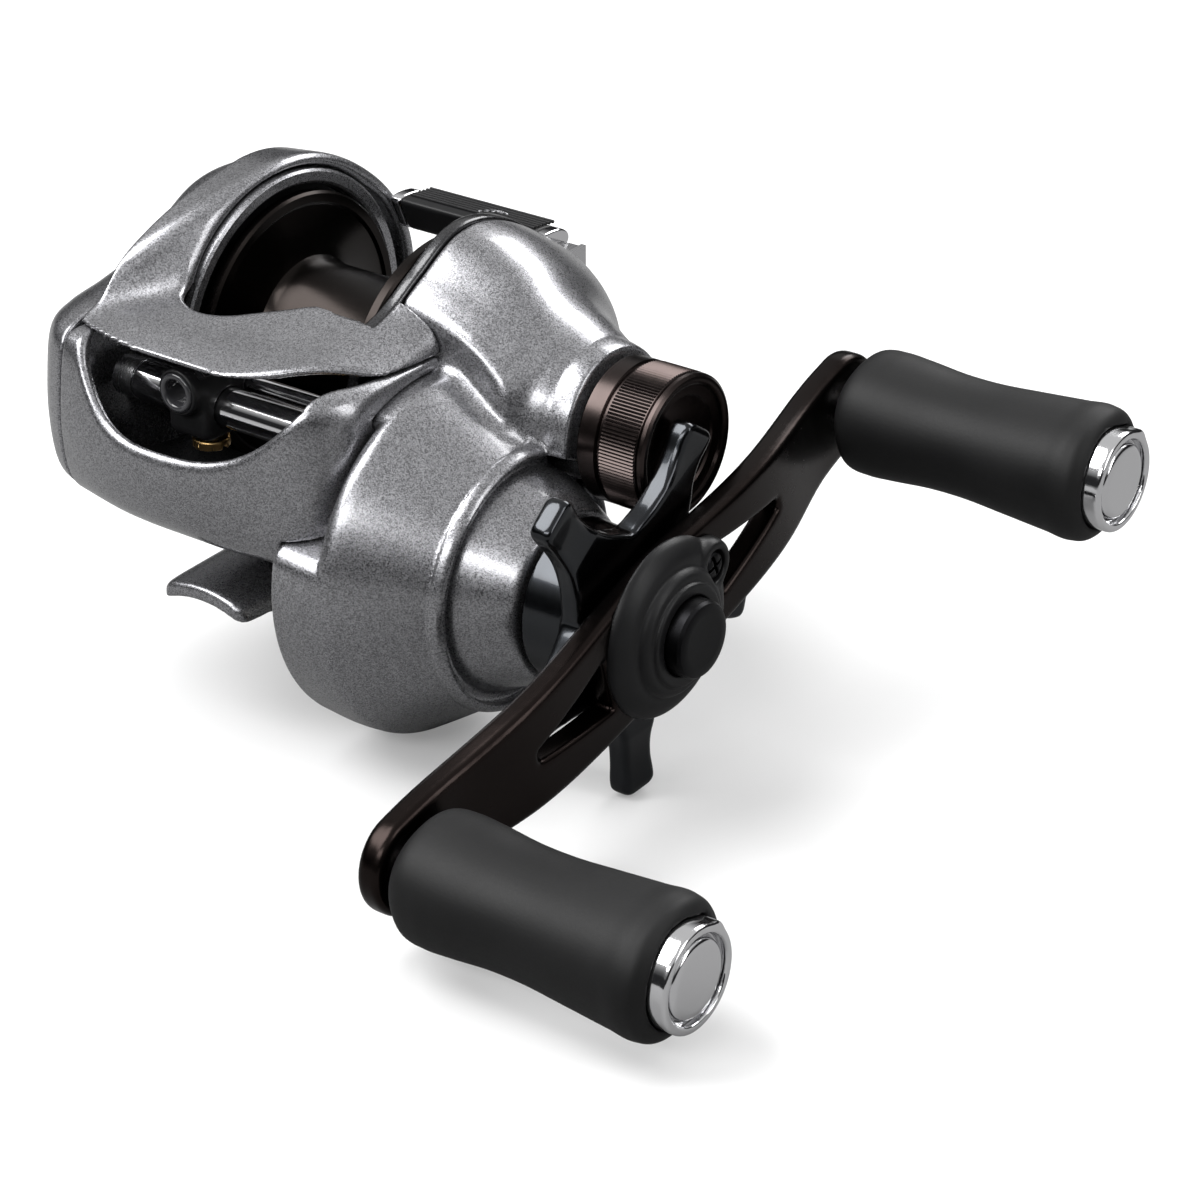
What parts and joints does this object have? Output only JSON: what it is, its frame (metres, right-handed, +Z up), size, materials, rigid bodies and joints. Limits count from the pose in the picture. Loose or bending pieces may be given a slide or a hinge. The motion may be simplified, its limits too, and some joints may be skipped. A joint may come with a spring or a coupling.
{
  "type": "baitcasting fishing reel",
  "caption": "Low-profile baitcasting fishing reel with a level-wind line guide, star drag, cast control cap and a two-knob swept handle.",
  "frame": {"origin": "centre of the reel foot's concave underside", "axes": "+X along the spool axis towards the handle, -Y forward in the direction the line leaves, +Z up away from the rod"},
  "size_m": [0.1173, 0.0963, 0.0587],
  "materials": {
    "silver_paint": "metal-flake silver-grey paint under clear gloss",
    "dark_frame": "dark grey satin paint",
    "spool_anodised": "dark brown anodised, polished",
    "dark_anodised": "dark brown-black satin anodised",
    "gloss_dark": "dark gunmetal, glossy",
    "matte_black": "matte black moulded",
    "knob_rubber": "soft-touch matte black",
    "polished_chrome": "polished",
    "brass": "machined",
    "dark_ceramic": null,
    "carbon_fibre": "woven friction washer",
    "steel": "turned",
    "white_plastic": "moulded acetal",
    "black_nut": "black finish"
  },
  "bodies": {
    "body": {"anti_reverse_bearing": "steel", "cover_screws": "steel", "drive_shaft_bearings": "steel", "foot_rivets": "steel", "frame": "dark_frame", "gear_side_cover": "silver_paint", "guide_rod": "polished_chrome", "hood": "silver_paint", "line_guard": "silver_paint", "reel_foot": "silver_paint", "spool_and_pinion_bearings": "steel", "worm_bushes": "steel", "worm_guard_tube": "polished_chrome", "yoke_posts": "steel", "yoke_springs": "steel"},
    "handle": {"handle_arm": "dark_anodised", "handle_nut": "black_nut", "nut_cover": "matte_black", "nut_cover_screw": "black_nut", "knob_pin_front": "steel", "knob_pin_rear": "steel", "drive_shaft": "steel", "drive_gear": "brass", "idle_gear": "white_plastic", "drag_washer": "carbon_fibre", "drag_pressure_plate": "steel", "drag_sleeve": "steel", "drag_spring_washers": "steel"},
    "star": {"star_drag": "gloss_dark"},
    "front_knob": {"knob_front": "knob_rubber", "knob_cap_front": "polished_chrome", "knob_bearings_front": "steel"},
    "rear_knob": {"knob_rear": "knob_rubber", "knob_cap_rear": "polished_chrome", "knob_bearings_rear": "steel"},
    "spool_set": {"spool": "spool_anodised", "spool_shaft": "steel", "spool_cross_pin": "steel", "brake_hub": "white_plastic", "brake_weights": "white_plastic"},
    "yoke": {"clutch_yoke": "matte_black"},
    "pinion_gear": {"pinion": "brass"},
    "clutch_bar": {"thumb_bar": "matte_black", "thumb_bar_trims": "polished_chrome", "clutch_plate": "steel"},
    "worm": {"worm_shaft": "steel", "worm_gear": "brass"},
    "line_guide_carriage": {"line_guide": "matte_black", "guide_ring": "dark_ceramic", "pawl": "steel", "pawl_cap": "brass"},
    "palm_side": {"palm_cover": "silver_paint", "brake_case": "matte_black", "brake_drum": "steel", "spool_bearing_palm_side": "steel"},
    "dial": {"brake_dial": "matte_black"},
    "lock": {"lock_lever": "matte_black"},
    "cast_cap": {"cast_control_cap": "dark_anodised", "cast_cap_seal": "matte_black", "cast_cap_shim": "matte_black"}
  },
  "joints": [
    {"name": "handle_turn", "type": "hinge", "parent": "body", "child": "handle", "pos_m": [0, -0.01352, 0.00599], "axis": [1, 0, 0], "continuous": true},
    {"name": "star_drag_turn", "type": "hinge", "parent": "handle", "child": "star", "pos_m": [0, -0.01352, 0.00599], "axis": [1, 0, 0], "range_deg": [-270, 270]},
    {"name": "front_knob_spin", "type": "hinge", "parent": "handle", "child": "front_knob", "pos_m": [0, -0.05368, -0.00629], "axis": [1, 0, 0], "continuous": true},
    {"name": "rear_knob_spin", "type": "hinge", "parent": "handle", "child": "rear_knob", "pos_m": [0, 0.02665, 0.01827], "axis": [1, 0, 0], "continuous": true},
    {"name": "spool_spin", "type": "hinge", "parent": "body", "child": "spool_set", "pos_m": [0, 0, 0.021], "axis": [1, 0, 0], "continuous": true},
    {"name": "thumb_bar_press", "type": "slide", "parent": "body", "child": "clutch_bar", "axis": [0, 0, -1], "range_m": [0, 0.004]},
    {"name": "clutch_shift", "type": "slide", "parent": "body", "child": "yoke", "axis": [1, 0, 0], "range_m": [0, 0.002], "deforming": ["yoke_springs"]},
    {"name": "pinion_spin", "type": "hinge", "parent": "yoke", "child": "pinion_gear", "pos_m": [0, 0, 0.021], "axis": [1, 0, 0], "continuous": true},
    {"name": "worm_spin", "type": "hinge", "parent": "body", "child": "worm", "pos_m": [0, -0.02516, 0.02256], "axis": [1, 0, 0], "continuous": true},
    {"name": "line_guide_travel", "type": "slide", "parent": "body", "child": "line_guide_carriage", "axis": [1, 0, 0], "range_m": [-0.0066, 0.0116]},
    {"name": "palm_cover_removal", "type": "slide", "parent": "body", "child": "palm_side", "axis": [-1, 0, 0], "range_m": [0, 0.03]},
    {"name": "brake_dial_turn", "type": "hinge", "parent": "palm_side", "child": "dial", "pos_m": [0, -0.001, 0.022], "axis": [1, 0, 0], "range_deg": [0, 300]},
    {"name": "lock_lever_turn", "type": "hinge", "parent": "palm_side", "child": "lock", "pos_m": [0, -0.015, 0.0145], "axis": [1, 0, 0], "range_deg": [0, 70]},
    {"name": "cast_cap_turn", "type": "hinge", "parent": "body", "child": "cast_cap", "pos_m": [0, 0, 0.021], "axis": [1, 0, 0], "range_deg": [-360, 360]}
  ],
  "couplings": [
    {"joint": "spool_spin", "follows": "handle_turn", "ratio": -6.2143},
    {"joint": "pinion_spin", "follows": "handle_turn", "ratio": -6.2143},
    {"joint": "worm_spin", "follows": "handle_turn", "ratio": -4.4},
    {"joint": "clutch_shift", "follows": "thumb_bar_press", "ratio": 0.5}
  ]
}
